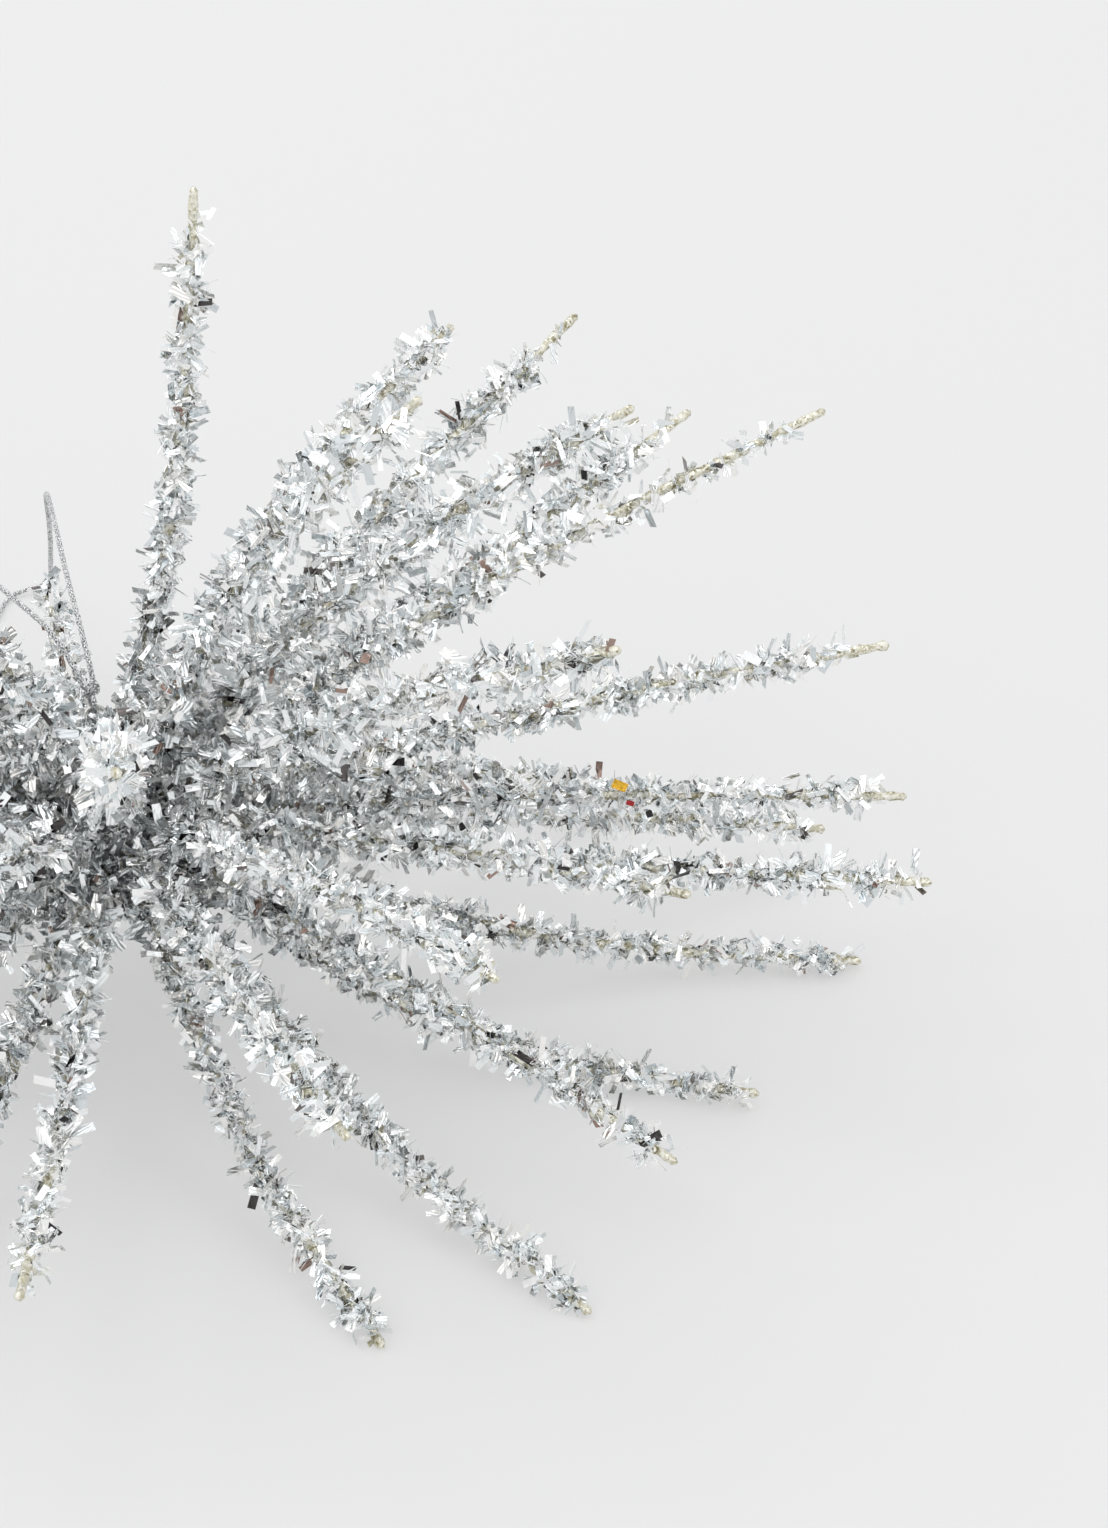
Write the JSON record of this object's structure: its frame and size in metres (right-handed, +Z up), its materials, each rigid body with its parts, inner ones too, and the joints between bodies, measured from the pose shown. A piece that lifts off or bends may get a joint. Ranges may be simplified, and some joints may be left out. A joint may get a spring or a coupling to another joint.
{
  "type": "foil starburst ornament",
  "caption": "Starburst hanging ornament: bendable wire stems coated in chopped silver foil radiate from a small core ball; a metallic cord loop is tied to an eye.",
  "frame": {"origin": "on the floor that the ornament stands on, under the middle of its box, which is directly under the core ball to within a millimetre", "axes": "+Z up, +X along the longest spread of the stems, the hanging cord falls over towards +Y"},
  "size_m": [0.1792, 0.1686, 0.1036],
  "materials": {
    "foil": "bright chopped foil",
    "wire": "clear glue over cream wrapped wire",
    "core": "matt foam",
    "steel": "plain wire",
    "cord": "braided metallic thread"
  },
  "bodies": {
    "core": {"core_ball": "core", "hanging_eye": "steel", "cord_tie": "cord", "cord_knot": "cord", "hanging_cord": "cord"},
    "stem_01_body": {"stem_01": "foil"},
    "stem_02_body": {"stem_02": "foil"},
    "stem_03_body": {"stem_03": "foil"},
    "stem_04_body": {"stem_04": "foil"},
    "stem_05_body": {"stem_05": "foil"},
    "stem_06_body": {"stem_06": "foil"},
    "stem_07_body": {"stem_07": "foil"},
    "stem_08_body": {"stem_08": "foil"},
    "stem_09_body": {"stem_09": "foil"},
    "stem_10_body": {"stem_10": "foil"},
    "stem_11_body": {"stem_11": "foil"},
    "stem_12_body": {"stem_12": "foil"},
    "stem_13_body": {"stem_13": "foil"},
    "stem_14_body": {"stem_14": "foil"},
    "stem_15_body": {"stem_15": "foil"},
    "stem_16_body": {"stem_16": "foil"},
    "stem_17_body": {"stem_17": "foil"},
    "stem_18_body": {"stem_18": "foil"},
    "stem_19_body": {"stem_19": "foil"},
    "stem_20_body": {"stem_20": "foil"},
    "stem_21_body": {"stem_21": "foil"},
    "stem_22_body": {"stem_22": "foil"},
    "stem_23_body": {"stem_23": "foil"},
    "stem_24_body": {"stem_24": "foil"},
    "stem_25_body": {"stem_25": "foil"},
    "stem_26_body": {"stem_26": "foil"},
    "stem_27_body": {"stem_27": "foil"},
    "stem_28_body": {"stem_28": "foil"},
    "stem_29_body": {"stem_29": "foil"},
    "stem_30_body": {"stem_30": "foil"},
    "stem_31_body": {"stem_31": "foil"},
    "stem_32_body": {"stem_32": "foil"},
    "stem_33_body": {"stem_33": "foil"},
    "stem_34_body": {"stem_34": "foil"},
    "stem_35_body": {"stem_35": "foil"},
    "stem_36_body": {"stem_36": "foil"},
    "stem_37_body": {"stem_37": "foil"},
    "stem_38_body": {"stem_38": "foil"},
    "stem_39_body": {"stem_39": "foil"},
    "stem_40_body": {"stem_40": "foil"},
    "stem_41_body": {"stem_41": "foil"},
    "stem_42_body": {"stem_42": "foil"},
    "stem_43_body": {"stem_43": "foil"},
    "stem_44_body": {"stem_44": "foil"},
    "stem_45_body": {"stem_45": "foil"},
    "stem_46_body": {"stem_46": "foil"},
    "stem_47_body": {"stem_47": "foil"},
    "stem_48_body": {"stem_48": "foil"}
  },
  "joints": [
    {"name": "stem_01_bend", "type": "hinge", "parent": "core", "child": "stem_01_body", "pos_m": [0.00566, 0.00086, 0.02513], "axis": [0.3018, 0.0317, 0.9528], "range_deg": [-6, 6]},
    {"name": "stem_02_bend", "type": "hinge", "parent": "core", "child": "stem_02_body", "pos_m": [0.00471, 0.00395, 0.02622], "axis": [0.2873, 0.2165, 0.933], "range_deg": [-6, 6]},
    {"name": "stem_03_bend", "type": "hinge", "parent": "core", "child": "stem_03_body", "pos_m": [0.00294, 0.00453, 0.02458], "axis": [0.2327, 0.3584, 0.9041], "range_deg": [-6, 6]},
    {"name": "stem_04_bend", "type": "hinge", "parent": "core", "child": "stem_04_body", "pos_m": [0.00099, 0.00562, 0.02509], "axis": [0.0555, 0.3149, 0.9475], "range_deg": [-6, 6]},
    {"name": "stem_05_bend", "type": "hinge", "parent": "core", "child": "stem_05_body", "pos_m": [-0.0034, 0.00452, 0.02501], "axis": [-0.1929, 0.256, 0.9472], "range_deg": [-6, 6]},
    {"name": "stem_06_bend", "type": "hinge", "parent": "core", "child": "stem_06_body", "pos_m": [-0.0049, 0.00283, 0.02501], "axis": [-0.2897, 0.1673, 0.9424], "range_deg": [-6, 6]},
    {"name": "stem_07_bend", "type": "hinge", "parent": "core", "child": "stem_07_body", "pos_m": [-0.00559, 0.00079, 0.02499], "axis": [-0.3061, 0.0485, 0.9508], "range_deg": [-6, 6]},
    {"name": "stem_08_bend", "type": "hinge", "parent": "core", "child": "stem_08_body", "pos_m": [-0.00548, -0.00149, 0.02505], "axis": [-0.3151, -0.0904, 0.9447], "range_deg": [-6, 6]},
    {"name": "stem_09_bend", "type": "hinge", "parent": "core", "child": "stem_09_body", "pos_m": [-0.00421, -0.00366, 0.02485], "axis": [-0.2628, -0.2284, 0.9374], "range_deg": [-6, 6]},
    {"name": "stem_10_bend", "type": "hinge", "parent": "core", "child": "stem_10_body", "pos_m": [-0.00216, -0.00512, 0.02483], "axis": [-0.1326, -0.3282, 0.9353], "range_deg": [-6, 6]},
    {"name": "stem_11_bend", "type": "hinge", "parent": "core", "child": "stem_11_body", "pos_m": [0.00232, -0.00502, 0.02479], "axis": [0.1805, -0.3394, 0.9232], "range_deg": [-6, 6]},
    {"name": "stem_12_bend", "type": "hinge", "parent": "core", "child": "stem_12_body", "pos_m": [0.00392, -0.00412, 0.02506], "axis": [0.2429, -0.2429, 0.9391], "range_deg": [-6, 6]},
    {"name": "stem_13_bend", "type": "hinge", "parent": "core", "child": "stem_13_body", "pos_m": [0.00524, -0.00145, 0.02462], "axis": [0.3286, -0.0759, 0.9414], "range_deg": [-6, 6]},
    {"name": "stem_14_bend", "type": "hinge", "parent": "core", "child": "stem_14_body", "pos_m": [0.00586, 0.00213, 0.02657], "axis": [0.2432, 0.0885, 0.9659], "range_deg": [-6, 6]},
    {"name": "stem_15_bend", "type": "hinge", "parent": "core", "child": "stem_15_body", "pos_m": [0.00633, 0.00089, 0.02774], "axis": [0.0691, 0.0097, 0.9976], "range_deg": [-6, 6]},
    {"name": "stem_16_bend", "type": "hinge", "parent": "core", "child": "stem_16_body", "pos_m": [0.00634, -0.00089, 0.02781], "axis": [0, 0, 1], "range_deg": [-6, 6]},
    {"name": "stem_17_bend", "type": "hinge", "parent": "core", "child": "stem_17_body", "pos_m": [0.00535, -0.00321, 0.02656], "axis": [0.2219, -0.1333, 0.9659], "range_deg": [-6, 6]},
    {"name": "stem_18_bend", "type": "hinge", "parent": "core", "child": "stem_18_body", "pos_m": [0.00575, -0.00256, 0.02916], "axis": [-0.1271, 0.0566, 0.9903], "range_deg": [-6, 6]},
    {"name": "stem_19_bend", "type": "hinge", "parent": "core", "child": "stem_19_body", "pos_m": [-0.00033, -0.00636, 0.02734], "axis": [-0.0009, -0.0174, 0.9998], "range_deg": [-6, 6]},
    {"name": "stem_20_bend", "type": "hinge", "parent": "core", "child": "stem_20_body", "pos_m": [-0.00116, 0.00599, 0.02606], "axis": [-0.0397, 0.2041, 0.9781], "range_deg": [-6, 6]},
    {"name": "stem_21_bend", "type": "hinge", "parent": "core", "child": "stem_21_body", "pos_m": [-0.00542, 0.00339, 0.02778], "axis": [0.0444, -0.0277, 0.9986], "range_deg": [-6, 6]},
    {"name": "stem_22_bend", "type": "hinge", "parent": "core", "child": "stem_22_body", "pos_m": [-0.00626, 0.00133, 0.02804], "axis": [-0.0512, 0.0109, 0.9986], "range_deg": [-6, 6]},
    {"name": "stem_23_bend", "type": "hinge", "parent": "core", "child": "stem_23_body", "pos_m": [-0.00629, -0.00066, 0.02901], "axis": [0.0694, 0.0073, 0.9976], "range_deg": [-6, 6]},
    {"name": "stem_24_bend", "type": "hinge", "parent": "core", "child": "stem_24_body", "pos_m": [-0.00551, -0.00318, 0.02866], "axis": [0, 0, 1], "range_deg": [-6, 6]},
    {"name": "stem_25_bend", "type": "hinge", "parent": "core", "child": "stem_25_body", "pos_m": [-0.00376, -0.00517, 0.02767], "axis": [0.0205, 0.0282, 0.9994], "range_deg": [-6, 6]},
    {"name": "stem_26_bend", "type": "hinge", "parent": "core", "child": "stem_26_body", "pos_m": [0.00617, 0.00032, 0.02967], "axis": [-0.2246, -0.0118, 0.9744], "range_deg": [-6, 6]},
    {"name": "stem_27_bend", "type": "hinge", "parent": "core", "child": "stem_27_body", "pos_m": [0.0054, 0.00176, 0.03094], "axis": [-0.3868, -0.1257, 0.9135], "range_deg": [-6, 6]},
    {"name": "stem_28_bend", "type": "hinge", "parent": "core", "child": "stem_28_body", "pos_m": [0.00469, 0.00423, 0.02904], "axis": [-0.1418, -0.1277, 0.9816], "range_deg": [-6, 6]},
    {"name": "stem_29_bend", "type": "hinge", "parent": "core", "child": "stem_29_body", "pos_m": [0.00394, 0.00423, 0.03075], "axis": [-0.2665, -0.2858, 0.9205], "range_deg": [-6, 6]},
    {"name": "stem_30_bend", "type": "hinge", "parent": "core", "child": "stem_30_body", "pos_m": [0.00251, 0.00533, 0.0305], "axis": [-0.1294, -0.2434, 0.9613], "range_deg": [-6, 6]},
    {"name": "stem_31_bend", "type": "hinge", "parent": "core", "child": "stem_31_body", "pos_m": [-0.004, 0.0046, 0.02996], "axis": [0.1364, -0.1569, 0.9781], "range_deg": [-6, 6]},
    {"name": "stem_32_bend", "type": "hinge", "parent": "core", "child": "stem_32_body", "pos_m": [-0.00499, 0.00276, 0.03091], "axis": [0.3276, -0.1816, 0.9272], "range_deg": [-6, 6]},
    {"name": "stem_33_bend", "type": "hinge", "parent": "core", "child": "stem_33_body", "pos_m": [-0.00574, 0.00081, 0.03071], "axis": [0.3387, -0.0476, 0.9397], "range_deg": [-6, 6]},
    {"name": "stem_34_bend", "type": "hinge", "parent": "core", "child": "stem_34_body", "pos_m": [-0.00541, -0.00165, 0.03099], "axis": [0.3582, 0.1095, 0.9272], "range_deg": [-6, 6]},
    {"name": "stem_35_bend", "type": "hinge", "parent": "core", "child": "stem_35_body", "pos_m": [-0.00393, -0.00421, 0.03079], "axis": [0.2333, 0.2501, 0.9397], "range_deg": [-6, 6]},
    {"name": "stem_36_bend", "type": "hinge", "parent": "core", "child": "stem_36_body", "pos_m": [-0.00168, -0.00551, 0.03079], "axis": [0.1, 0.3271, 0.9397], "range_deg": [-6, 6]},
    {"name": "stem_37_bend", "type": "hinge", "parent": "core", "child": "stem_37_body", "pos_m": [0.00216, -0.00595, 0.02896], "axis": [-0.0711, 0.1954, 0.9781], "range_deg": [-6, 6]},
    {"name": "stem_38_bend", "type": "hinge", "parent": "core", "child": "stem_38_body", "pos_m": [0.00326, -0.00495, 0.03042], "axis": [-0.1812, 0.29, 0.9397], "range_deg": [-6, 6]},
    {"name": "stem_39_bend", "type": "hinge", "parent": "core", "child": "stem_39_body", "pos_m": [0.0039, -0.00305, 0.03206], "axis": [-0.4632, 0.3619, 0.809], "range_deg": [-6, 6]},
    {"name": "stem_40_bend", "type": "hinge", "parent": "core", "child": "stem_40_body", "pos_m": [0.00374, -0.00122, 0.03305], "axis": [-0.6956, 0.226, 0.682], "range_deg": [-6, 6]},
    {"name": "stem_41_bend", "type": "hinge", "parent": "core", "child": "stem_41_body", "pos_m": [0.0022, -0.00191, 0.0337], "axis": [-0.633, 0.5502, 0.5446], "range_deg": [-6, 6]},
    {"name": "stem_42_bend", "type": "hinge", "parent": "core", "child": "stem_42_body", "pos_m": [0.00049, -0.00465, 0.03237], "axis": [-0.0644, 0.6123, 0.788], "range_deg": [-6, 6]},
    {"name": "stem_43_bend", "type": "hinge", "parent": "core", "child": "stem_43_body", "pos_m": [0.00128, 0.00004, 0.03427], "axis": [-0.8352, -0.5219, 0.1736], "range_deg": [-6, 6]},
    {"name": "stem_44_bend", "type": "hinge", "parent": "core", "child": "stem_44_body", "pos_m": [-0.00375, 0.00226, 0.03267], "axis": [0.5624, -0.3379, 0.7547], "range_deg": [-6, 6]},
    {"name": "stem_45_bend", "type": "hinge", "parent": "core", "child": "stem_45_body", "pos_m": [-0.00468, 0, 0.03237], "axis": [0.6157, 0, 0.788], "range_deg": [-6, 6]},
    {"name": "stem_46_bend", "type": "hinge", "parent": "core", "child": "stem_46_body", "pos_m": [-0.00323, -0.00057, 0.0335], "axis": [0.8067, 0.1422, 0.5736], "range_deg": [-6, 6]},
    {"name": "stem_47_bend", "type": "hinge", "parent": "core", "child": "stem_47_body", "pos_m": [-0.00309, -0.0026, 0.03296], "axis": [0.5417, 0.4545, 0.7071], "range_deg": [-6, 6]},
    {"name": "stem_48_bend", "type": "hinge", "parent": "core", "child": "stem_48_body", "pos_m": [-0.0013, -0.00323, 0.03337], "axis": [0.2952, 0.7306, 0.6157], "range_deg": [-6, 6]}
  ]
}
